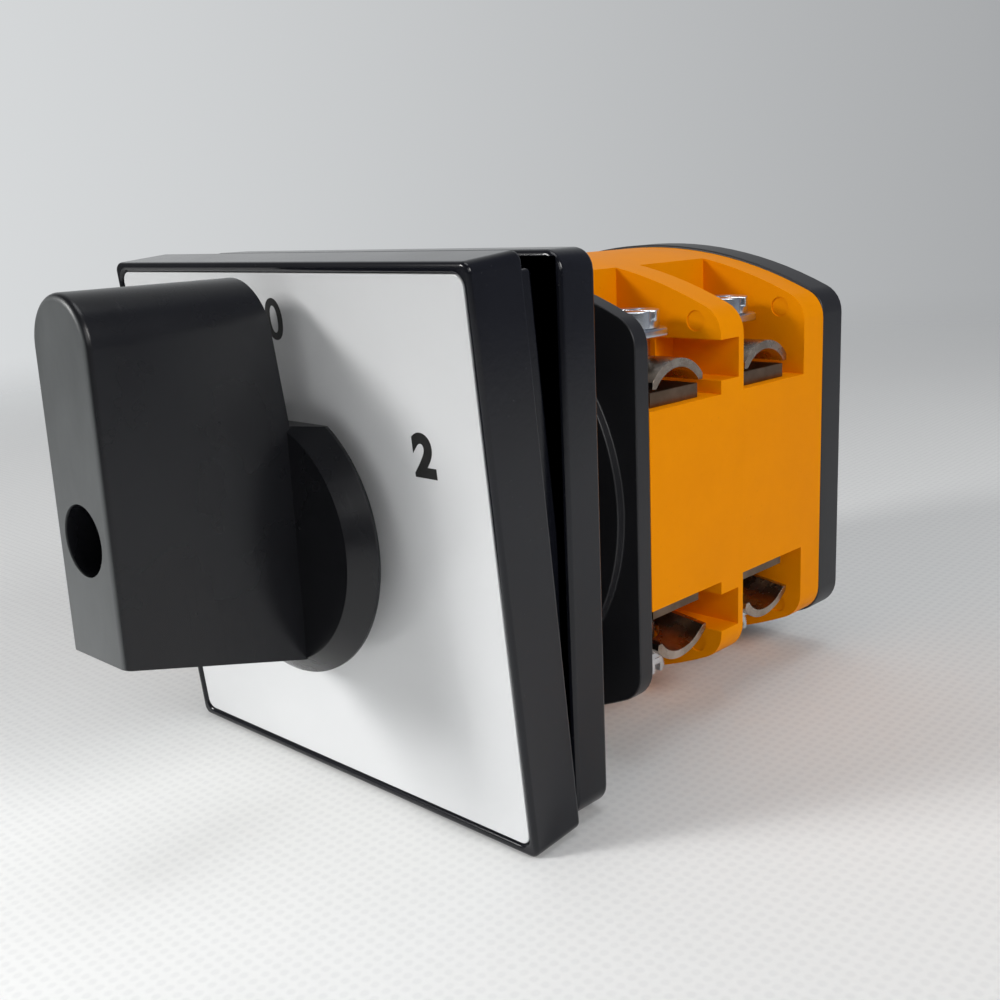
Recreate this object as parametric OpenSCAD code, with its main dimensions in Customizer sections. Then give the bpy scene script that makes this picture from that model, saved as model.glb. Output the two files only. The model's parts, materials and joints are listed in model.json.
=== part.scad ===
// Rotary cam changeover switch, positions 1-0-2, for front mounting in a panel.
// X runs to the right of the label, Y into the panel and Z up. The origin is on
// the shaft's axis at the panel's front face, where the mounting frame seats.

/* [Front] */
// Width and height of the label frame
label_frame_w = 64; // [62:0.5:66]
// Depth of the label frame
label_frame_t = 7.4; // [6.5:0.1:8.5]
// Width of the black rim round the label plate
label_rim = 1.1; // [0.8:0.1:2]
// Width and height of the mounting frame behind the label frame
mount_frame_w = 62.8; // [62:0.1:63.5]
// Depth of the mounting frame
mount_frame_t = 5.5; // [5:0.1:6.5]
// How far the unclipped label frame leans forward at the top, in degrees
label_tilt = 5.5; // [0:0.5:5.5]
// Hole-to-hole distance of the four panel screws
panel_hole_pitch = 48; // [46:1:50]
// Diameter of the panel screw holes
panel_hole_d = 4.6; // [4:0.1:5]

/* [Handle] */
// Thickness of the grip
grip_w = 10.9; // [9:0.1:12]
// Height of the grip's top above the shaft's axis
grip_top = 29.65; // [27:0.5:32]
// Distance of the grip's face from the panel
grip_reach = 43.6; // [40:0.5:46]
// Diameter of the round base of the handle
base_d = 32.6; // [31:0.2:33]
// Diameter of the screw well in the grip
well_d = 7.4; // [6:0.1:7.6]

/* [Body] */
// Width of the contact chambers
body_w = 58; // [57:0.5:60]
// Height of the end plate and cover
body_h = 58.4; // [58:0.2:60]
// Depth of one contact chamber
chamber_t = 19.7; // [19.5:0.1:21]
// Thickness of the end cover
cover_t = 5.3; // [4.5:0.1:7]
// Distance from the panel's face to the detent housing's plate
plate_y = 9.5; // [9:0.5:11]

/* [Contacts] */
// Opening travel of a contact bridge each way from the middle position
bridge_travel = 2; // [1:0.1:2]
// Turn from the middle position to position 1 or 2, in degrees
switch_turn = 60; // [45:15:60]

/* [Hidden] */

$fn = 48;
eps = 0.01;
gap = 0.1;                                  // space between parts that move past each other
plate_t = 2.5;                              // detent housing's plate
chambers_y = plate_y + plate_t;             // front of the first chamber
chambers = 2;
cover_y = chambers_y + chambers * chamber_t;
body_end = cover_y + cover_t;
outline_arc_r = 62;                         // arc of the body's top and bottom
outline_corner_r = 4;
chamber_inset = 0.35;                       // chambers are this much lower than the plates

skirt_w = 59.4;                             // label frame's skirt, inside the mounting frame
skirt_t = 1.6;
skirt_depth = 3.6;
label_recess_t = 1.2;                       // step that takes the label plate
label_web_t = 2;                            // wall behind the label plate
hub_hole_d = 22.4;
hub_d = 20;
hub_y = -6;                                 // rear end of the handle's hub
base_rear = -18.8;                          // rear face of the handle's round base
base_front = -21.6;
base_front_r = 14.1;                        // the base is a cone towards the grip
base_cut_z = 13.6;                          // and is cut flat under the pointer
well_seat = -19.6;                          // floor of the screw well

shaft_w = 8;                                // square shaft
shaft_front = -15;
shaft_end = cover_y + 2.6;
journal_d = 13;
bore_d = journal_d + gap;
boss_r = 27;                                // low round step on the detent housing's face
boss_t = 1.2;
collar_d = 30;                              // collar through the panel's cut-out
frame_screw_pos = 17;
tie_z = 22.5;

back_wall_t = 5;                            // closed rear wall of a chamber
cell_t = chamber_t - back_wall_t;           // depth of its open cells
pocket_x = 12.9;                            // terminal pockets start here
pocket_z = 12.1;                            // and have their floor at this height
cell_z = 10.9;                              // contact cell's half height
cell_x = 26.4;                              // contact cell's half width
terminal_x = 20;                            // axis of the terminal screws
terminal_y = 8.2;                           // from the chamber's front
bar_front = 6.2;                            // a bar reaches this far from its screw to the front
bar_rear = 3.4;                             // and to the rear
bar_t = 1.8;
bar_end = 27.6;
leg_x = 13;                                 // inner face of the fixed contact's leg
leg_t = 1.5;
leg_w = 7;
mark_x = 25.2;                              // moulder's mark on a back wall
mark_z = 21;
saddle_x0 = 16.4;                           // inner end of a wire saddle
saddle_w = 10.8;
saddle_top = 17.3;
saddle_hang = 2.4;                          // how much lower the lower saddles hang
saddle_droop = 8;                           // and how far their outer ends lean down, in degrees
clamp_w = 8;
clamp_t = 1.1;
clamp_z = 19.5;
lower_slack = 0.9;                          // the lower screws are turned out this much further
cam_r = 8.6;                                // cam's radius in the middle position
cam_y = 2;
cam_t = 10.6;
follower_w = 5.6;
follower_nose_r = 1;
bridge_x = 18.75;                           // inner face of a bridge in the middle position
bridge_t = 1.4;
bridge_half = 9.6;
tip_t = 1.1;
tip_d = 5;

// ---- shared shapes ----

// Extrudes an X-Z outline along Y from y0 to y1
module along_y(y0, y1) {
    translate([0, y1, 0]) rotate([90, 0, 0]) linear_extrude(y1 - y0) children();
}

// Rod along Y
module rod_y(d, y0, y1, x = 0, z = 0) {
    translate([x, y1, z]) rotate([90, 0, 0]) cylinder(d = d, h = y1 - y0);
}

module rounded_square(w, r) {
    d = w / 2 - r;
    hull() for (x = [-d, d], z = [-d, d]) translate([x, z]) circle(r = r, $fn = 32);
}

// Points of a quarter-like arc from angle a0 to a1
function arc(cx, cz, r, a0, a1, n = 8) =
    [for (i = [0:n]) let (a = a0 + (a1 - a0) * i / n) [cx + r * cos(a), cz + r * sin(a)]];

// The body's outline: flat sides, arched top and bottom, rounded corners
module body_outline(inset = 0) {
    r = outline_corner_r;
    arc_r = outline_arc_r;
    arc_z = body_h / 2 - inset - arc_r;
    corner_x = body_w / 2 - r;
    a = acos(corner_x / (arc_r - r));
    corner_z = arc_z + (arc_r - r) * sin(a);
    upper = concat(
        arc(corner_x, corner_z, r, 0, a, 6),
        arc(0, arc_z, arc_r, a, 180 - a, 24),
        arc(-corner_x, corner_z, r, 180 - a, 180, 6));
    polygon(concat(upper, [for (i = [0:len(upper) - 1]) -upper[i]]));
}

module four_corners(pitch) {
    for (x = [-1, 1], z = [-1, 1]) translate([x * pitch / 2, 0, z * pitch / 2]) children();
}

// Repeats a terminal's part at the four corners of a chamber, the lower two further out by slack
module at_terminals(i, slack = 0) {
    translate([0, chambers_y + i * chamber_t, 0])
        for (mx = [0, 1], mz = [0, 1])
            mirror([mx, 0, 0]) mirror([0, 0, mz]) translate([0, 0, mz * slack]) children();
}

// Moves a side's contact part into chamber i; side is 1 for right and -1 for left
module at_side(i, side) {
    translate([0, chambers_y + i * chamber_t, 0]) mirror([side < 0 ? 1 : 0, 0, 0]) children();
}

// Leans what belongs to the label frame forward about its lower rear edge
module leaned() {
    translate([0, -mount_frame_t - gap, -label_frame_w / 2]) rotate([label_tilt, 0, 0])
        translate([0, mount_frame_t + gap, label_frame_w / 2]) children();
}

// ---- front ----

module mounting_frame() {
    recess_w = skirt_w + 0.9;
    floor_t = 1.4;
    color("#17181b") difference() {
        along_y(-mount_frame_t, 0) rounded_square(mount_frame_w, 2.4);
        along_y(-mount_frame_t - 1, -floor_t) square(recess_w, center = true);
        rod_y(hub_d + 2, -floor_t - 1, 1);
        four_corners(panel_hole_pitch) rod_y(panel_hole_d, -floor_t - 1, 1);
        four_corners(2 * frame_screw_pos) rod_y(4.4, -floor_t - 1, 1);
        // relief slots on the back
        for (s = [-1, 1]) translate([s * 27, -0.3, 0]) cube([2, 1.2, 20], center = true);
    }
}

// Pan-head screws that hold the mounting frame to the detent housing
module frame_screws() {
    color("#b9bcc0") four_corners(2 * frame_screw_pos) difference() {
        union() {
            rod_y(4, -1.4 - eps, plate_y + 2);
            rod_y(7, -3.6, -1.4);
        }
        for (a = [0, 90]) translate([0, -3.4, 0]) rotate([0, a, 0])
            cube([4.4, 1.4, 0.9], center = true);
    }
}

module label_frame() {
    front = -mount_frame_t - gap - label_frame_t;
    back = -mount_frame_t - gap;
    w = label_frame_w;
    color("#141518") leaned() difference() {
        union() {
            along_y(front, back) rounded_square(w, 1.2);
            along_y(back - eps, back + skirt_depth) square(skirt_w, center = true);
        }
        along_y(front - 1, front + label_recess_t) rounded_square(w - 2 * label_rim, 1.4);
        along_y(front + label_recess_t + label_web_t, back + skirt_depth + 1)
            square(skirt_w - 2 * skirt_t, center = true);
        rod_y(hub_hole_d, front - 1, back + 1);
    }
}

module label_plate() {
    front = -mount_frame_t - gap - label_frame_t;
    color("#eceef0") leaned() difference() {
        along_y(front + 0.25, front + label_recess_t)
            rounded_square(label_frame_w - 2 * label_rim - 0.2, 1.3);
        rod_y(hub_hole_d + 0.6, front - 1, front + 3);
    }
}

// ---- handle and shaft ----

// from the round's centre line out to its rim and over the rounded edge at the front
function rim_profile(r, round, reach) = [for (a = [0 : 15 : 90])
    [r - round + round * cos(a), reach - round + round * sin(a)]];

module grip() {
    r = grip_w / 2;
    round = 0.8;                            // radius round the front face
    rear = -base_front - 1;
    foot_front = -7.4;
    foot_rear = -13.2;
    rim = rim_profile(r, round, grip_reach);
    intersection() {
        union() {
            translate([0, 0, grip_top - r]) rotate([90, 0, 0]) rotate_extrude($fn = 96)
                polygon(concat([[0, rear], [r, rear]], rim, [[0, grip_reach]]));
            translate([0, 0, -20]) linear_extrude(20 + grip_top - r) polygon(concat(
                [[-r, -rear], [r, -rear]],
                [for (p = rim) [p[0], -p[1]]],
                [for (i = [len(rim) - 1 : -1 : 0]) [-rim[i][0], -rim[i][1]]]));
        }
        rotate([90, 0, 90]) translate([0, 0, -10]) linear_extrude(20) polygon([
            [-grip_reach - 1, foot_front], [-grip_reach - 1, grip_top + 1], [base_front + 1, grip_top + 1],
            [base_front + 1, 12], [base_front + 1, foot_rear], [base_front, foot_rear]]);
    }
}

module handle() {
    base_r = base_d / 2;
    well_z = 5;
    well_foot = -22;
    well_lean = atan(well_z / (grip_reach + well_foot));
    socket_w = shaft_w + gap;
    back_foot = 0.4;                        // the pointer's back starts this far behind the base's front
    back_lean = 2.15;                       // and leans forward this far over its height
    color("#151619") difference() {
        union() {
            rotate([90, 0, 0]) rotate_extrude($fn = 96) polygon([
                [0, -hub_y], [hub_d / 2, -hub_y], [hub_d / 2, -base_rear], [base_r, -base_rear],
                [base_r, 0.4 - base_rear], [base_front_r, -base_front], [0, -base_front]]);
            grip();
        }
        // square socket for the shaft
        translate([-socket_w / 2, shaft_front - 0.2, -socket_w / 2]) cube([socket_w, 20, socket_w]);
        // screw well, leaning up with the grip
        rod_y(4.3, well_seat - 1, shaft_front);
        rod_y(well_d, well_foot - 2.5, well_seat);
        translate([0, well_foot, 0]) rotate([90 - well_lean, 0, 0]) cylinder(d = well_d, h = 30);
        // pointer's core, open at the back
        translate([0, base_front + 0.6, 0]) rotate([90, 0, 0]) linear_extrude(19) hull() {
            translate([0, grip_top - grip_w / 2]) circle(r = 3.2, $fn = 32);
            translate([-3.2, 18]) square([6.4, 1]);
        }
        // flat on the base under the pointer's overhang, and the pointer's leaning back
        rotate([90, 0, 90]) translate([0, 0, -base_r]) linear_extrude(base_d) polygon([
            [base_front + back_foot, base_cut_z], [base_front + back_foot - back_lean, grip_top + 1],
            [-10, grip_top + 1], [-10, base_cut_z]]);
    }
}

module handle_screw() {
    head_t = 2.6;
    color("#b9bcc0") difference() {
        union() {
            rod_y(6.6, well_seat - head_t, well_seat);
            rod_y(4, well_seat - eps, shaft_front + 9);
        }
        for (a = [0, 90]) translate([0, well_seat - head_t, 0]) rotate([0, a, 0])
            cube([4.2, 1.6, 0.9], center = true);
    }
}

module shaft() {
    color("#9da1a6") difference() {
        translate([-shaft_w / 2, shaft_front, -shaft_w / 2])
            cube([shaft_w, shaft_end - shaft_front, shaft_w]);
        rod_y(4, shaft_front - 1, shaft_front + 9);
        // groove of the retaining clip
        difference() {
            rod_y(shaft_w * 2, cover_y + 0.6, cover_y + 1.5);
            rod_y(7, cover_y, cover_y + 2);
        }
    }
}

module shaft_clip() {
    color("#8a8d91") difference() {
        rod_y(11.6, cover_y + 0.65, cover_y + 1.45);
        rod_y(7, cover_y, cover_y + 2);
        translate([-2, cover_y, 0]) cube([4, 2, 10]);
    }
}

// ---- detent ----

wheel_y = plate_y + 0.1;
wheel_t = 2.1;

module detent_housing() {
    cavity_r = 20;
    color("#1a1b1e") difference() {
        union() {
            along_y(plate_y, chambers_y) body_outline();
            rod_y(2 * boss_r, plate_y - boss_t, plate_y + eps, $fn = 96);
            rod_y(collar_d, 0, plate_y);
        }
        rod_y(journal_d + gap, -1, chambers_y + 1);
        rod_y(2 * cavity_r, plate_y - eps, chambers_y + 1, $fn = 72);
        four_corners(2 * frame_screw_pos) rod_y(4, 0, plate_y + 2);
        for (s = [-1, 1]) rod_y(4, plate_y - 0.2, chambers_y + 1, 0, s * tie_z);
    }
}

// Wheel with a valley for each position, on both sides, and a hub in the collar
module detent_wheel() {
    valley_r = 1.6;
    wheel_r = 11.4;
    color("#d8d6cf") difference() {
        union() {
            along_y(wheel_y, wheel_y + wheel_t) difference() {
                circle(r = wheel_r, $fn = 72);
                for (s = [0, 180], a = [-switch_turn, 0, switch_turn])
                    rotate(s + a) translate([wheel_r, 0]) circle(r = valley_r);
            }
            rod_y(journal_d, 0.5, wheel_y + eps);
        }
        translate([-shaft_w / 2 - 0.05, -1, -shaft_w / 2 - 0.05])
            cube([shaft_w + 0.1, 20, shaft_w + 0.1]);
    }
}

// Leaf springs whose noses sit in the wheel's valleys
module detent_springs() {
    leaf_x = 12.3;
    leaf_t = 0.8;
    nose_r = 1.5;
    color("#c9cdd1") for (m = [0, 1]) mirror([m, 0, 0]) along_y(wheel_y + 0.1, wheel_y + wheel_t - 0.1) {
        translate([leaf_x, -15]) square([leaf_t, 30]);
        translate([leaf_x - 0.6, 0]) circle(r = nose_r);
    }
}

// ---- contact chambers ----

// Room of a terminal, open to the front, the top and the side
module terminal_pocket() {
    translate([pocket_x, -1, pocket_z]) cube([30, cell_t + 1, 30]);
}

module chamber(i) {
    y0 = chambers_y + i * chamber_t;
    color("#f39100") difference() {
        along_y(y0, y0 + chamber_t) body_outline(chamber_inset);
        at_terminals(i) {
            terminal_pocket();
            // slot for the fixed contact's leg
            translate([leg_x - 0.15, terminal_y - leg_w / 2 - 0.15, cell_z - 1])
                cube([leg_t + 0.3, leg_w + 0.3, 3]);
            // recess in the first chamber's back wall beside the wire window
            if (i == 0) translate([19, cell_t - 1, pocket_z + 1.7]) cube([11, 4.9, 5]);
            rod_y(2.6, cell_t - 1, cell_t + 0.2, mark_x, mark_z);
        }
        // contact cell, open to the front
        translate([-cell_x, y0 - 1, -cell_z]) cube([2 * cell_x, cell_t + 1, 2 * cell_z]);
        rod_y(bore_d, y0 + 1, y0 + chamber_t + 1);
        for (s = [-1, 1]) {
            rod_y(4.4, y0 - 1, y0 + chamber_t + 1, 0, s * tie_z);
            // lightening pockets in the middle block
            for (m = [-1, 1]) translate([m * 6.6 - 2, y0 - 1, s * 19 - 4.5]) cube([4, cell_t - 2, 9]);
        }
    }
}

module chamber_1() { chamber(0); }
module chamber_2() { chamber(1); }

// Cam radius at angle a from +X towards +Z: it changes evenly over the turn on each side
function cam_radius(a) =
    let (side = abs(a) <= 90 ? a : (a > 0 ? 180 - a : -180 - a),
         turn = max(-switch_turn, min(switch_turn, side)))
    cam_r - bridge_travel * turn / switch_turn;

module cam(i) {
    y0 = chambers_y + i * chamber_t;
    color("#e4e2da") difference() {
        union() {
            along_y(y0 + cam_y, y0 + cam_y + cam_t)
                polygon([for (a = [-180:5:175]) cam_radius(a) * [cos(a), sin(a)]]);
            rod_y(journal_d, y0 + cam_y + cam_t - eps, y0 + chamber_t - 0.1);
        }
        translate([-shaft_w / 2 - 0.05, y0, -shaft_w / 2 - 0.05])
            cube([shaft_w + 0.1, chamber_t + 1, shaft_w + 0.1]);
    }
}

module cam_1() { cam(0); }
module cam_2() { cam(1); }

// Push rod between the cam and a bridge
module follower(i, side) {
    nose_x = cam_r + gap;
    color("#e8e6de") at_side(i, side) {
        translate([nose_x + follower_nose_r, terminal_y - follower_w / 2, -follower_nose_r])
            cube([bridge_x - nose_x - follower_nose_r, follower_w, 2 * follower_nose_r]);
        translate([nose_x + follower_nose_r, terminal_y - follower_w / 2, 0]) rotate([-90, 0, 0])
            cylinder(r = follower_nose_r, h = follower_w);
        translate([bridge_x - 4, terminal_y - follower_w / 2, -3.4]) cube([4, follower_w, 6.8]);
    }
}

module follower_left_1() { follower(0, -1); }
module follower_right_1() { follower(0, 1); }
module follower_left_2() { follower(1, -1); }
module follower_right_2() { follower(1, 1); }

// Copper bridge with a silver tip at each end
module bridge(i, side) {
    color("#c77b45") at_side(i, side) {
        translate([bridge_x, terminal_y - 3, -bridge_half]) cube([bridge_t, 6, 2 * bridge_half]);
        for (s = [-1, 1]) translate([bridge_x - tip_t, terminal_y, s * 7]) rotate([0, 90, 0])
            cylinder(d = tip_d, h = tip_t + eps);
    }
}

module bridge_left_1() { bridge(0, -1); }
module bridge_right_1() { bridge(0, 1); }
module bridge_left_2() { bridge(1, -1); }
module bridge_right_2() { bridge(1, 1); }

// Flat conical spring between a bridge and the chamber's side wall, as stacked rings
module contact_spring(i, side) {
    x0 = bridge_x + bridge_t;
    wire = 0.7;
    turns = 6;
    pitch = (cell_x - x0 - wire) / (turns - 1);
    color("#c3c7cb") at_side(i, side) {
        for (k = [0:turns - 1]) translate([x0 + wire / 2 + k * pitch, terminal_y, 0]) rotate([0, 90, 0])
            rotate_extrude($fn = 32) translate([2.6, 0]) circle(d = wire, $fn = 16);
        translate([x0 + wire / 2, terminal_y - 0.3, -2.95]) cube([cell_x - x0 - wire, 0.6, 0.6]);
    }
}

module spring_left_1() { contact_spring(0, -1); }
module spring_right_1() { contact_spring(0, 1); }
module spring_left_2() { contact_spring(1, -1); }
module spring_right_2() { contact_spring(1, 1); }

// ---- terminals ----

// Plated bar: fixed contact leg and tip inside, wire platform outside
module terminal_bars(i) {
    leg_foot = 3.9;
    color("#b9a888") at_terminals(i) difference() {
        union() {
            translate([leg_x, terminal_y - bar_front, pocket_z])
                cube([bar_end - leg_x, bar_front + bar_rear, bar_t]);
            translate([leg_x, terminal_y - leg_w / 2, leg_foot])
                cube([leg_t, leg_w, pocket_z + bar_t - leg_foot]);
            translate([leg_x + leg_t - eps, terminal_y, 7]) rotate([0, 90, 0])
                cylinder(d = tip_d, h = tip_t);
        }
        translate([terminal_x, terminal_y, pocket_z - 1]) cylinder(d = 5, h = 4);
    }
}

module terminal_bars_1() { terminal_bars(0); }
module terminal_bars_2() { terminal_bars(1); }

// Arched strip that bears on the wire, with its top at z = 0 on the screw's axis; the arch spans along Y
module wire_saddle() {
    r = 6.7;
    strip_t = 1.1;
    half_span = 5.1;
    foot = -3.2;
    intersection() {
        translate([saddle_x0 - terminal_x, 0, -r]) rotate([0, 90, 0]) difference() {
            cylinder(r = r, h = saddle_w, $fn = 96);
            translate([0, 0, -1]) cylinder(r = r - strip_t, h = saddle_w + 2, $fn = 96);
            translate([-r, 0, terminal_x - saddle_x0]) rotate([0, 90, 0])
                cylinder(d = 5.9, h = 8, center = true);
        }
        translate([-20, -half_span, foot]) cube([40, 2 * half_span, 10]);
    }
}

// The upper saddles rest above their bars, and the lower ones hang down on the loosened screws
module wire_saddles(i) {
    color("#a89a86") translate([0, chambers_y + i * chamber_t + terminal_y, 0])
        for (mx = [0, 1]) mirror([mx, 0, 0]) {
            translate([terminal_x, 0, saddle_top]) wire_saddle();
            mirror([0, 0, 1]) translate([terminal_x, 0, saddle_top + saddle_hang])
                rotate([0, -saddle_droop, 0]) wire_saddle();
        }
}

module wire_saddles_1() { wire_saddles(0); }
module wire_saddles_2() { wire_saddles(1); }

// Square washer with cut corners under each screw head
module clamp_plates(i) {
    half = clamp_w / 2;
    corner = 1.4;
    at = [terminal_x, terminal_y, clamp_z];
    color("#c6cacf") at_terminals(i, lower_slack) translate(at) difference() {
        linear_extrude(clamp_t) intersection() {
            square(clamp_w, center = true);
            rotate(45) square(2 * (half * sqrt(2) - corner / sqrt(2)), center = true);
        }
        translate([0, 0, -1]) cylinder(d = 5.4, h = 4);
    }
}

module clamp_plates_1() { clamp_plates(0); }
module clamp_plates_2() { clamp_plates(1); }

module terminal_screws(i) {
    head_z = clamp_z + clamp_t;
    head_t = 2.2;
    head_d = 7.4;
    color("#c6cacf") at_terminals(i, lower_slack) translate([terminal_x, terminal_y, 0]) difference() {
        union() {
            translate([0, 0, pocket_z]) cylinder(d = 5, h = head_z - pocket_z + eps);
            translate([0, 0, head_z]) cylinder(d = head_d, h = head_t);
        }
        translate([0, 0, head_z + head_t]) cube([head_d + 1, 1.1, 2.4], center = true);
        translate([0, 0, head_z + head_t]) cube([1.1, 5.4, 2.4], center = true);
    }
}

module terminal_screws_1() { terminal_screws(0); }
module terminal_screws_2() { terminal_screws(1); }

// ---- rear ----

module end_cover() {
    color("#1a1b1e") difference() {
        along_y(cover_y, body_end) body_outline();
        rod_y(bore_d, cover_y - 1, cover_y + 3);
        for (s = [-1, 1]) {
            rod_y(4.4, cover_y - 1, body_end + 1, 0, s * tie_z);
            rod_y(8.4, body_end - 2.6, body_end + 1, 0, s * tie_z);
        }
    }
}

// Long bolts through cover and chambers into the detent housing
module tie_bolts() {
    seat = body_end - 2.6;
    color("#b9bcc0") for (s = [-1, 1]) difference() {
        union() {
            rod_y(4, plate_y - 0.2, seat + eps, 0, s * tie_z);
            rod_y(7.2, seat, seat + 2.2, 0, s * tie_z);
        }
        for (a = [0, 90]) translate([0, seat + 2.2, s * tie_z]) rotate([0, a, 0])
            cube([4.6, 1.8, 0.9], center = true);
    }
}

mounting_frame();
frame_screws();
label_frame();
label_plate();
handle();
handle_screw();
shaft();
detent_housing();
detent_wheel();
detent_springs();
chamber_1();
chamber_2();
cam_1();
cam_2();
terminal_bars_1();
terminal_bars_2();
wire_saddles_1();
wire_saddles_2();
clamp_plates_1();
clamp_plates_2();
terminal_screws_1();
terminal_screws_2();
bridge_left_1();
bridge_right_1();
bridge_left_2();
bridge_right_2();
follower_left_1();
follower_right_1();
follower_left_2();
follower_right_2();
spring_left_1();
spring_right_1();
spring_left_2();
spring_right_2();
end_cover();
tie_bolts();
shaft_clip();
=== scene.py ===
"""Looks for the rotary changeover switch: materials, edges, springs, numerals, stage, light, camera."""
import json
import math

import bpy
from mathutils import Matrix, Vector


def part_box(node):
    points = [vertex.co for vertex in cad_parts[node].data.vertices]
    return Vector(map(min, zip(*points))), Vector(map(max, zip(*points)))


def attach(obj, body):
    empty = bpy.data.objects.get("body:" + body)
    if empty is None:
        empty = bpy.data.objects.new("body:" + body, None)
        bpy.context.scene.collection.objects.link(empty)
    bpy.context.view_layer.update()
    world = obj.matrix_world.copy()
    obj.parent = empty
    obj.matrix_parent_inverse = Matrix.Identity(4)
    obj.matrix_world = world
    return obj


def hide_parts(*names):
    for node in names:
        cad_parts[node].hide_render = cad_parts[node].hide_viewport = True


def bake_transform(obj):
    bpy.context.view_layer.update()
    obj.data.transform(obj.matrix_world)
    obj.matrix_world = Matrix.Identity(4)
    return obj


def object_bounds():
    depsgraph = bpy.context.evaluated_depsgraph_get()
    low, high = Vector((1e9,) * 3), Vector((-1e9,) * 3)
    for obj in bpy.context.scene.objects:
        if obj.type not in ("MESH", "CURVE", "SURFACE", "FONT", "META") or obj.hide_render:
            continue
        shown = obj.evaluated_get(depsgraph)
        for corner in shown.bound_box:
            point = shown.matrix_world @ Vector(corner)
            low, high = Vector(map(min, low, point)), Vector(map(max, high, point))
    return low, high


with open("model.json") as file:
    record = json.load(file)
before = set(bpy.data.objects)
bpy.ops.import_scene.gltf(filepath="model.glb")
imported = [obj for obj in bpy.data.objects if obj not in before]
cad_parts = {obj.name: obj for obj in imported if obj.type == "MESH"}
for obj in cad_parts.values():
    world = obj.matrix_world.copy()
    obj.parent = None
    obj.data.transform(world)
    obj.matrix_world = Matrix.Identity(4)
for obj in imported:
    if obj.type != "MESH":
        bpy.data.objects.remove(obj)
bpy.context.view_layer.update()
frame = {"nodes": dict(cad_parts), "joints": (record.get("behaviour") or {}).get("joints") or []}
nodes = frame["nodes"]
joints = {j["name"]: j for j in frame["joints"]}

MM = 0.001


# ---------------------------------------------------------------- materials

class Shader:
    """A node material around one Principled shader, with short helpers for the nodes it needs."""

    def __init__(self, name, **inputs):
        self.material = bpy.data.materials.new(name)
        self.material.use_nodes = True
        self.tree = self.material.node_tree
        self.tree.nodes.clear()
        self.out = self.tree.nodes.new("ShaderNodeOutputMaterial")
        self.bsdf = self.tree.nodes.new("ShaderNodeBsdfPrincipled")
        self.link(self.bsdf.outputs[0], self.out.inputs["Surface"])
        for key, value in inputs.items():
            self.bsdf.inputs[key.replace("_", " ").title().replace("Ior", "IOR")].default_value = value
        self.coords = self.tree.nodes.new("ShaderNodeTexCoord").outputs["Object"]

    def link(self, a, b):
        self.tree.links.new(a, b)

    def add(self, kind, **values):
        made = self.tree.nodes.new(kind)
        for key, value in values.items():
            if hasattr(made, key):
                setattr(made, key, value)
            else:
                made.inputs[key.replace("_", " ")].default_value = value
        return made

    def noise(self, scale, detail=3.0, roughness=0.5, stretch=None):
        made = self.add("ShaderNodeTexNoise", Scale=scale, Detail=detail, Roughness=roughness)
        source = self.coords
        if stretch:
            mapping = self.add("ShaderNodeMapping")
            mapping.inputs["Scale"].default_value = stretch
            self.link(source, mapping.inputs["Vector"])
            source = mapping.outputs[0]
        self.link(source, made.inputs["Vector"])
        return made.outputs["Fac"]

    def ramp(self, source, stops):
        made = self.add("ShaderNodeValToRGB")
        ramp = made.color_ramp
        while len(ramp.elements) < len(stops):
            ramp.elements.new(0.5)
        for element, (place, value) in zip(ramp.elements, stops):
            element.position = place
            element.color = (*value, 1) if isinstance(value, tuple) else (value, value, value, 1)
        self.link(source, made.inputs["Fac"])
        return made.outputs["Color"]

    def scaled(self, source, low, high):
        made = self.add("ShaderNodeMapRange")
        made.inputs["To Min"].default_value = low
        made.inputs["To Max"].default_value = high
        self.link(source, made.inputs["Value"])
        return made.outputs["Result"]

    def mix(self, factor, a, b):
        made = self.add("ShaderNodeMix", data_type="RGBA")
        if isinstance(factor, float):
            made.inputs["Factor"].default_value = factor
        else:
            self.link(factor, made.inputs["Factor"])
        for socket, value in (("A", a), ("B", b)):
            target = [s for s in made.inputs if s.name == socket and s.type == "RGBA"][0]
            if isinstance(value, tuple):
                target.default_value = (*value, 1)
            else:
                self.link(value, target)
        return [s for s in made.outputs if s.type == "RGBA"][0]

    def color(self, source):
        self.link(source, self.bsdf.inputs["Base Color"])

    def rough(self, source):
        self.link(source, self.bsdf.inputs["Roughness"])

    def bump(self, source, depth, strength=1.0):
        made = self.add("ShaderNodeBump")
        made.inputs["Strength"].default_value = strength
        made.inputs["Distance"].default_value = depth
        self.link(source, made.inputs["Height"])
        if self.bsdf.inputs["Normal"].links:
            self.link(self.bsdf.inputs["Normal"].links[0].from_socket, made.inputs["Normal"])
        self.link(made.outputs[0], self.bsdf.inputs["Normal"])


def black_plastic(name, tone, rough, grain, gloss_change):
    """Black moulded plastic: faint orange peel, handling smears in the gloss, a few dust specks."""
    m = Shader(name, roughness=rough, specular_ior_level=0.4)
    smear = m.noise(90, 4.0, 0.6)
    dust = m.ramp(m.noise(3600, 1.0, 0.4), [(0.0, 0.0), (0.76, 0.0), (0.8, 1.0)])
    cloud = m.ramp(smear, [(0.3, tuple(c * 0.85 for c in tone)), (0.7, tuple(c * 1.2 for c in tone))])
    m.color(m.mix(m.scaled(dust, 0.0, 0.12), cloud, (0.2, 0.2, 0.2)))
    m.rough(m.scaled(smear, rough - gloss_change, rough + gloss_change))
    m.bump(m.noise(grain, 2.0, 0.5), 0.00002, 0.35)
    return m.material


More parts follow.
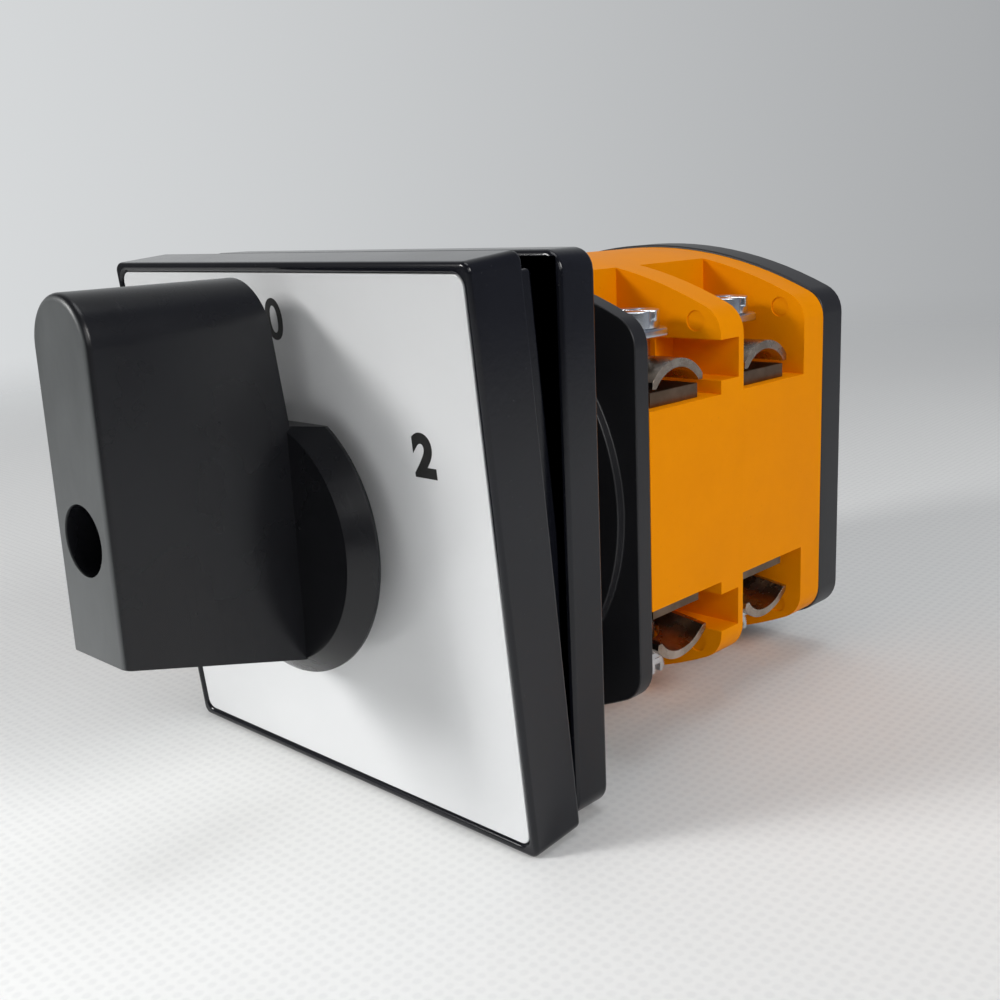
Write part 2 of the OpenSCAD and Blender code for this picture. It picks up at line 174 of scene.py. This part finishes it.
def handle_plastic(tone, rough):
    """Black plastic whose front face is finely scratched where fingers and sleeves touch it, and mixed
    to a lighter grey: partly rubbed wear, partly painted sheen.
    """
    m = Shader("handle_plastic", roughness=rough, specular_ior_level=0.38)
    smear = m.noise(70, 4.0, 0.6)
    split = m.add("ShaderNodeSeparateXYZ")
    m.link(m.coords, split.inputs[0])
    # mask of the front face, which gets the lighter grey of rubbed wear and painted sheen
    worn_and_sheen = m.add("ShaderNodeMapRange", interpolation_type="SMOOTHSTEP")
    worn_and_sheen.inputs["From Min"].default_value = GRIP_FACE + 0.3 * MM
    worn_and_sheen.inputs["From Max"].default_value = GRIP_FACE + 0.02 * MM
    m.link(split.outputs["Y"], worn_and_sheen.inputs["Value"])
    rubbed_and_sheen = m.add("ShaderNodeMath", operation="MULTIPLY")
    m.link(worn_and_sheen.outputs["Result"], rubbed_and_sheen.inputs[0])
    m.link(m.scaled(m.noise(150, 5.0, 0.7, (1.0, 1.0, 0.35)), 0.45, 1.2), rubbed_and_sheen.inputs[1])
    base = m.ramp(smear, [(0.3, tuple(c * 0.85 for c in tone)), (0.7, tuple(c * 1.2 for c in tone))])
    # painted sheen: the front face is mixed towards a lighter grey, partly rubbed wear, partly the
    # sheen of light on it
    m.color(m.mix(rubbed_and_sheen.outputs[0], base, RUBBED_AND_SHEEN_TONE))
    glossy = m.scaled(smear, rough - 0.06, rough + 0.08)
    m.rough(m.mix(rubbed_and_sheen.outputs[0], glossy, (0.42, 0.42, 0.42)))
    scratch = m.ramp(m.noise(60, 6.0, 0.7, (1.0, 14.0, 0.6)), [(0.55, 0.0), (0.6, 1.0)])
    m.bump(scratch, 0.000008, 0.25)
    m.bump(m.noise(1500, 2.0, 0.5), 0.00002, 0.25)
    return m.material


def orange_plastic():
    m = Shader("orange_thermoset", roughness=0.42, specular_ior_level=0.03)
    cloud = m.noise(120, 4.0, 0.6)
    base = m.ramp(cloud, [(0.3, (0.9, 0.288, 0.0)), (0.7, (0.94, 0.306, 0.0))])
    speck = m.ramp(m.noise(1900, 1.0, 0.5), [(0.0, 0.0), (0.74, 0.0), (0.77, 1.0)])
    m.color(m.mix(m.scaled(speck, 0.0, 0.2), base, (0.6, 0.17, 0.001)))
    m.rough(m.scaled(cloud, 0.36, 0.5))
    m.bump(m.noise(900, 3.0, 0.6), 0.00003, 0.3)
    return m.material


def label_laminate():
    m = Shader("label_laminate", roughness=0.38, specular_ior_level=0.5)
    cloud = m.noise(40, 3.0, 0.5)
    m.color(m.ramp(cloud, [(0.3, (0.78, 0.79, 0.80)), (0.7, (0.83, 0.84, 0.85))]))
    m.rough(m.scaled(m.noise(160, 4.0, 0.6), 0.16, 0.26))
    m.bump(m.noise(2200, 2.0, 0.5), 0.000004, 0.12)
    return m.material


def printed_ink():
    m = Shader("printed_ink", roughness=0.5)
    m.color(m.ramp(m.noise(1400, 2.0, 0.5), [(0.3, 0.009), (0.8, 0.02)]))
    m.bump(m.noise(3000, 2.0, 0.5), 0.00001, 0.3)
    return m.material


def nylon():
    m = Shader("natural_nylon", roughness=0.45, subsurface_weight=0.15, subsurface_scale=0.002)
    m.color(m.ramp(m.noise(150, 3.0, 0.5), [(0.3, (0.68, 0.66, 0.6)), (0.7, (0.75, 0.73, 0.68))]))
    m.bump(m.noise(1200, 2.0, 0.5), 0.00002, 0.3)
    return m.material


def metal(name, low, high, rough, spread, grain=(1.0, 1.0, 1.0), depth=0.00001):
    """Bare or plated metal whose tone and gloss drift over the surface."""
    m = Shader(name, metallic=1.0, roughness=rough)
    cloud = m.noise(220, 4.0, 0.65)
    m.color(m.ramp(cloud, [(0.3, low), (0.7, high)]))
    m.rough(m.scaled(cloud, rough - spread, rough + spread))
    m.bump(m.noise(700, 3.0, 0.6, grain), depth, 0.4)
    return m.material


GRIP_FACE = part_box("handle")[0].y
# lighter grey of the handle's front face: partly rubbed wear, partly painted sheen
RUBBED_AND_SHEEN_TONE = (0.115, 0.122, 0.124)
HANDLE = handle_plastic((0.0075, 0.0078, 0.0096), 0.26)
GLOSS = black_plastic("frame_plastic", (0.0055, 0.006, 0.0092), 0.17, 1300, 0.04)
MATTE = black_plastic("housing_plastic", (0.0165, 0.0165, 0.019), 0.4, 800, 0.07)
ORANGE = orange_plastic()
LABEL = label_laminate()
INK = printed_ink()
NYLON = nylon()
ZINC = metal("zinc_plate", (0.56, 0.60, 0.65), (0.74, 0.77, 0.8), 0.24, 0.08)
SPRING = metal("spring_steel", (0.5, 0.5, 0.52), (0.62, 0.63, 0.65), 0.22, 0.06)
SADDLE = metal("tarnished_nickel", (0.26, 0.2, 0.15), (0.56, 0.5, 0.44), 0.27, 0.1, (1.0, 1.0, 4.0))
# near-black steel for the frame screws, which sit in the dark gap between the two frames
DARK_SCREW = metal("near_black_steel", (0.035, 0.035, 0.038), (0.06, 0.06, 0.064), 0.4, 0.08)
BAR = metal("dark_brass", (0.10, 0.065, 0.04), (0.24, 0.17, 0.12), 0.34, 0.1)
COPPER = metal("bare_copper", (0.6, 0.3, 0.16), (0.75, 0.42, 0.26), 0.3, 0.08)

LOOKS = {
    "handle": HANDLE, "label_frame": GLOSS, "mounting_frame": GLOSS,
    "detent_housing": MATTE, "end_cover": MATTE,
    "chamber_1": ORANGE, "chamber_2": ORANGE, "label_plate": LABEL,
    "detent_wheel": NYLON, "cam_1": NYLON, "cam_2": NYLON,
    "shaft": SPRING, "shaft_clip": SPRING, "detent_springs": SPRING,
}
PREFIX_LOOKS = {
    "terminal_bars": BAR, "wire_saddles": SADDLE, "clamp_plates": ZINC, "terminal_screws": ZINC,
    "frame_screws": DARK_SCREW, "handle_screw": ZINC, "tie_bolts": ZINC,
    "bridge": COPPER, "follower": NYLON, "spring": SPRING,
}


def look_of(name):
    if name in LOOKS:
        return LOOKS[name]
    return next(look for prefix, look in PREFIX_LOOKS.items() if name.startswith(prefix))


# ---------------------------------------------------------------- moulded edges

# radius of each node's moulded or cut edges, in millimetres, by the start of its name
EDGE = {
    "handle": 0.7, "label_frame": 0.5, "mounting_frame": 0.6, "detent_housing": 0.5, "end_cover": 0.7,
    "chamber_1": 0.3, "chamber_2": 0.3, "label_plate": 0.15, "clamp_plates": 0.45, "wire_saddles": 0.25,
    "terminal_bars": 0.2, "terminal_screws": 0.15, "tie_bolts": 0.15,
}
OTHER_EDGES = 0.12
SHARP_ANGLE = math.radians(35)
FLAT_ANGLE = math.radians(0.5)
WELD_DISTANCE = 1e-6

# their bevel keeps its full width; on the other nodes it is held back where small edges meet
PLAIN_SHELLS = ("label_frame", "mounting_frame")


def soften(node, width_mm):
    """Rounds a CAD node's sharp edges with modifiers, so that its own mesh stays as packed."""
    weld = node.modifiers.new("weld", "WELD")
    weld.merge_threshold = WELD_DISTANCE
    flats = node.modifiers.new("flats", "DECIMATE")
    flats.decimate_type = "DISSOLVE"
    flats.angle_limit = FLAT_ANGLE
    bevel = node.modifiers.new("edges", "BEVEL")
    bevel.width = width_mm * MM
    bevel.segments = 3
    bevel.limit_method = "ANGLE"
    bevel.angle_limit = SHARP_ANGLE
    bevel.harden_normals = False
    bevel.use_clamp_overlap = node.name not in PLAIN_SHELLS
    normals = node.modifiers.new("normals", "WEIGHTED_NORMAL")
    normals.keep_sharp = True


for name, node in nodes.items():
    node.data.materials.clear()
    node.data.materials.append(look_of(name))
    for polygon in node.data.polygons:
        polygon.use_smooth = True
    width = next((w for key, w in EDGE.items() if name.startswith(key)), OTHER_EDGES)
    soften(node, width)


# ---------------------------------------------------------------- made pieces

def mesh_of(data):
    """The mesh of a curve or a text, whose own object isn't kept."""
    carrier = bpy.data.objects.new(data.name + "_outline", data)
    bpy.context.scene.collection.objects.link(carrier)
    bpy.context.view_layer.update()
    mesh = bpy.data.meshes.new_from_object(carrier.evaluated_get(bpy.context.evaluated_depsgraph_get()))
    bpy.data.objects.remove(carrier)
    return mesh


def add_piece(name, mesh, material):
    mesh.materials.clear()
    mesh.materials.append(material)
    piece = bpy.data.objects.new(name, mesh)
    bpy.context.scene.collection.objects.link(piece)
    return piece


# ---------------------------------------------------------------- contact springs

SPRING_TURNS = 4.5
STEPS_PER_TURN = 24
SPRING_WIRE_RADIUS = 0.35 * MM


def contact_spring(name):
    """A coil between its contact and the chamber wall, in the box of the CAD spring, which it replaces.
    """
    low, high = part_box(name)
    middle = (low + high) / 2
    inner, outer = sorted((low.x, high.x), key=abs)
    outward = math.copysign(1, middle.x)
    start = inner + outward * SPRING_WIRE_RADIUS
    length = outer - inner - 2 * outward * SPRING_WIRE_RADIUS
    radius = (high.z - low.z) / 2 - SPRING_WIRE_RADIUS
    steps = int(SPRING_TURNS * STEPS_PER_TURN)
    data = bpy.data.curves.new(name + "_coil", "CURVE")
    data.dimensions = "3D"
    data.bevel_depth = SPRING_WIRE_RADIUS
    data.bevel_resolution = 3
    data.use_fill_caps = True
    path = data.splines.new("POLY")
    path.points.add(steps)
    for step, point in enumerate(path.points):
        turn = 2 * math.pi * SPRING_TURNS * step / steps
        along = start + length * step / steps
        point.co = (along, middle.y + radius * math.cos(turn), middle.z + radius * math.sin(turn), 1)
    coil = mesh_of(data)
    for polygon in coil.polygons:
        polygon.use_smooth = True
    piece = add_piece(name + "_coil", coil, SPRING)
    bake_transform(piece)
    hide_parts(name)


for place in ("left_1", "right_1", "left_2", "right_2"):
    contact_spring("spring_" + place)


# ---------------------------------------------------------------- printed numerals

PLATE_FRONT = -12.75 * MM
PRINT_DEPTH = 0.03 * MM
SUNK_SHARE = 0.1
CAP_HEIGHT = 0.729


def lean_matrix():
    """Moves what was laid out on the seated label frame to the leaned one."""
    lean = joints["bezel_lean"]
    pivot = Vector(lean["pos_m"])
    turn = Matrix.Rotation(math.radians(-lean["range_deg"][0]), 4, "X")
    return Matrix.Translation(pivot) @ turn @ Matrix.Translation(-pivot)


def numeral(digit, centre_mm, height_mm, weight_mm):
    """One printed digit on the label plate, as a thin raised film of ink."""
    data = bpy.data.curves.new("numeral_" + digit, "FONT")
    data.body = digit
    data.size = (height_mm - 2 * weight_mm) / CAP_HEIGHT
    data.offset = weight_mm
    data.extrude = 0.5 * PRINT_DEPTH / MM
    data.resolution_u = 10
    shape = mesh_of(data)
    low = Vector([min(v.co[i] for v in shape.vertices) for i in range(3)])
    high = Vector([max(v.co[i] for v in shape.vertices) for i in range(3)])
    shape.transform(Matrix.Translation(-(low + high) / 2))
    shape.transform(Matrix.Scale(MM, 4))
    shape.transform(Matrix.Rotation(math.radians(90), 4, "X"))
    front = PLATE_FRONT - (0.5 - SUNK_SHARE) * PRINT_DEPTH
    shape.transform(Matrix.Translation((centre_mm[0] * MM, front, centre_mm[1] * MM)))
    shape.transform(lean_matrix())
    piece = add_piece("numeral_" + digit, shape, INK)
    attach(piece, "bezel")


numeral("2", (22.1, 12.3), 5.1, 0.3)
numeral("0", (0.2, 25.7), 4.9, 0.12)
numeral("1", (-22.1, 12.3), 5.1, 0.3)


# ---------------------------------------------------------------- stage, light, camera

FLOOR_RADIUS = 0.5
FADE_START = 0.16
FLOOR_GAP = 0.0002
FRONT_EDGE_DEPTH = 0.004


def floor_material():
    """Pale cloth near the object that fades into the backdrop further away."""
    m = Shader("floor_cloth", roughness=0.9, specular_ior_level=0.1)
    cloth = m.ramp(m.noise(8, 3.0, 0.5), [(0.3, (0.82, 0.825, 0.82)), (0.7, (0.85, 0.855, 0.85))])
    weave = m.add("ShaderNodeTexVoronoi", Scale=720.0, Randomness=0.12)
    m.link(m.coords, weave.inputs["Vector"])
    dots = m.ramp(weave.outputs["Distance"], [(0.0, 1.0), (0.22, 1.0), (0.42, 0.0)])
    m.color(m.mix(m.scaled(dots, 0.0, 0.4), cloth, (0.72, 0.725, 0.73)))
    m.bump(m.noise(400, 2.0, 0.5), 0.0003, 0.3)
    reach = m.add("ShaderNodeVectorMath", operation="LENGTH")
    m.link(m.coords, reach.inputs[0])
    fade = m.add("ShaderNodeMapRange", interpolation_type="SMOOTHSTEP")
    fade.inputs["From Min"].default_value = FADE_START
    fade.inputs["From Max"].default_value = FLOOR_RADIUS
    m.link(reach.outputs["Value"], fade.inputs["Value"])
    blend = m.add("ShaderNodeMixShader")
    m.link(fade.outputs["Result"], blend.inputs["Fac"])
    m.link(m.bsdf.outputs[0], blend.inputs[1])
    m.link(m.add("ShaderNodeBsdfTransparent").outputs[0], blend.inputs[2])
    m.link(blend.outputs[0], m.out.inputs["Surface"])
    return m.material


def make_floor():
    """A disc that touches the object's lower front edge and its end cover, tilted to reach both."""
    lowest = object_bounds()[0].z
    bpy.ops.mesh.primitive_circle_add(vertices=96, radius=FLOOR_RADIUS, fill_type="NGON")
    floor = bpy.context.object
    floor.name = "floor"
    front_edge = Vector((0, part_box("label_frame")[0].y + FRONT_EDGE_DEPTH, lowest))
    rear_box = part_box("end_cover")
    rise = math.atan2(rear_box[0].z - front_edge.z, rear_box[1].y - front_edge.y)
    floor.rotation_euler = (rise, 0, 0)
    floor.location = front_edge - Vector((0, 0, FLOOR_GAP))
    floor.data.materials.append(floor_material())


def add_light(name, data, place, target):
    """Puts a light in place, aimed at a point and hidden from the camera."""
    light = bpy.data.objects.new(name, data)
    light.location = place
    light.rotation_euler = (Vector(target) - Vector(place)).to_track_quat("-Z", "Y").to_euler()
    light.visible_camera = False
    bpy.context.scene.collection.objects.link(light)


def area_light(name, place, target, size, power, color):
    data = bpy.data.lights.new(name, "AREA")
    data.shape = "RECTANGLE"
    data.size, data.size_y = size
    data.energy = power
    data.color = color
    add_light(name, data, place, target)


def pool_light(name, place, target, angle_deg, power):
    """A soft-edged round pool of light on the floor and the lower front."""
    data = bpy.data.lights.new(name, "SPOT")
    data.energy = power
    data.spot_size = math.radians(angle_deg)
    data.spot_blend = 1.0
    data.shadow_soft_size = 0.06
    add_light(name, data, place, target)


def make_world():
    """Soft room light: a backdrop that is brightest on the left, and a dimmer room in front."""
    world = bpy.data.worlds.new("studio")
    world.use_nodes = True
    bpy.context.scene.world = world
    tree = world.node_tree
    background = tree.nodes["Background"]
    coords = tree.nodes.new("ShaderNodeTexCoord")
    side = tree.nodes.new("ShaderNodeVectorMath")
    side.operation = "DOT_PRODUCT"
    side.inputs[1].default_value = BRIGHT_SIDE
    ramp = tree.nodes.new("ShaderNodeValToRGB")
    remap = tree.nodes.new("ShaderNodeMapRange")
    remap.inputs["From Min"].default_value = -1.0
    tree.links.new(coords.outputs["Generated"], side.inputs[0])
    tree.links.new(side.outputs["Value"], remap.inputs["Value"])
    tree.links.new(remap.outputs["Result"], ramp.inputs["Fac"])
    stops = ramp.color_ramp.elements
    stops[0].position = 0.25
    stops[0].color = (0.17, 0.18, 0.215, 1)
    stops[1].position = 0.95
    stops[1].color = (0.80, 0.82, 0.83, 1)
    middle = stops.new(0.44)
    middle.color = (0.40, 0.41, 0.42, 1)
    tree.links.new(ramp.outputs["Color"], background.inputs["Color"])
    split = tree.nodes.new("ShaderNodeSeparateXYZ")
    tree.links.new(coords.outputs["Generated"], split.inputs[0])
    depth = tree.nodes.new("ShaderNodeMapRange")
    depth.interpolation_type = "SMOOTHSTEP"
    depth.inputs["From Min"].default_value = -0.15
    depth.inputs["From Max"].default_value = 0.3
    depth.inputs["To Min"].default_value = ROOM_IN_FRONT
    tree.links.new(split.outputs["Y"], depth.inputs["Value"])
    tree.links.new(depth.outputs["Result"], background.inputs["Strength"])


def make_camera():
    """The photograph's view: close, from the right of the front, a little above the shaft."""
    sensor = 36.0
    data = bpy.data.cameras.new("camera")
    data.sensor_width = sensor
    data.lens = 43.47
    data.clip_start = 0.005
    camera = bpy.data.objects.new("camera", data)
    place = Vector((0.1119, -0.0983, 0.0357))
    aim = Vector((0.0102, 0.0061, 0.0004))
    roll = math.radians(-2.6)
    camera.location = place
    camera.rotation_mode = "QUATERNION"
    level = (aim - place).to_track_quat("-Z", "Y")
    camera.rotation_quaternion = level @ Matrix.Rotation(roll, 4, "Z").to_quaternion()
    bpy.context.scene.collection.objects.link(camera)
    bpy.context.scene.camera = camera


BRIGHT_SIDE = (-0.85, -0.48, -0.1)
ROOM_IN_FRONT = 0.2
make_floor()
make_world()
area_light("key", (-0.24, -0.36, 0.24), (0, 0, -0.01), (0.1, 0.1), 1.05, (1.0, 0.99, 0.97))
area_light("right", (0.50, -0.05, 0.32), (0, 0.02, 0), (0.2, 0.2), 1.28, (1.0, 0.985, 0.96))
area_light("fill", (0.42, -0.30, 0.25), (0, 0.02, 0), (0.25, 0.25), 0.4, (1.0, 1.0, 1.0))
area_light("top", (0.05, 0.02, 0.6), (0, 0, 0), (0.3, 0.3), 0.72, (0.97, 0.985, 1.0))
pool_light("pool", (-0.20, -0.40, 0.14), (0.01, -0.05, -0.055), 21, 5.7)
make_camera()
bpy.context.scene.view_settings.view_transform = "Standard"
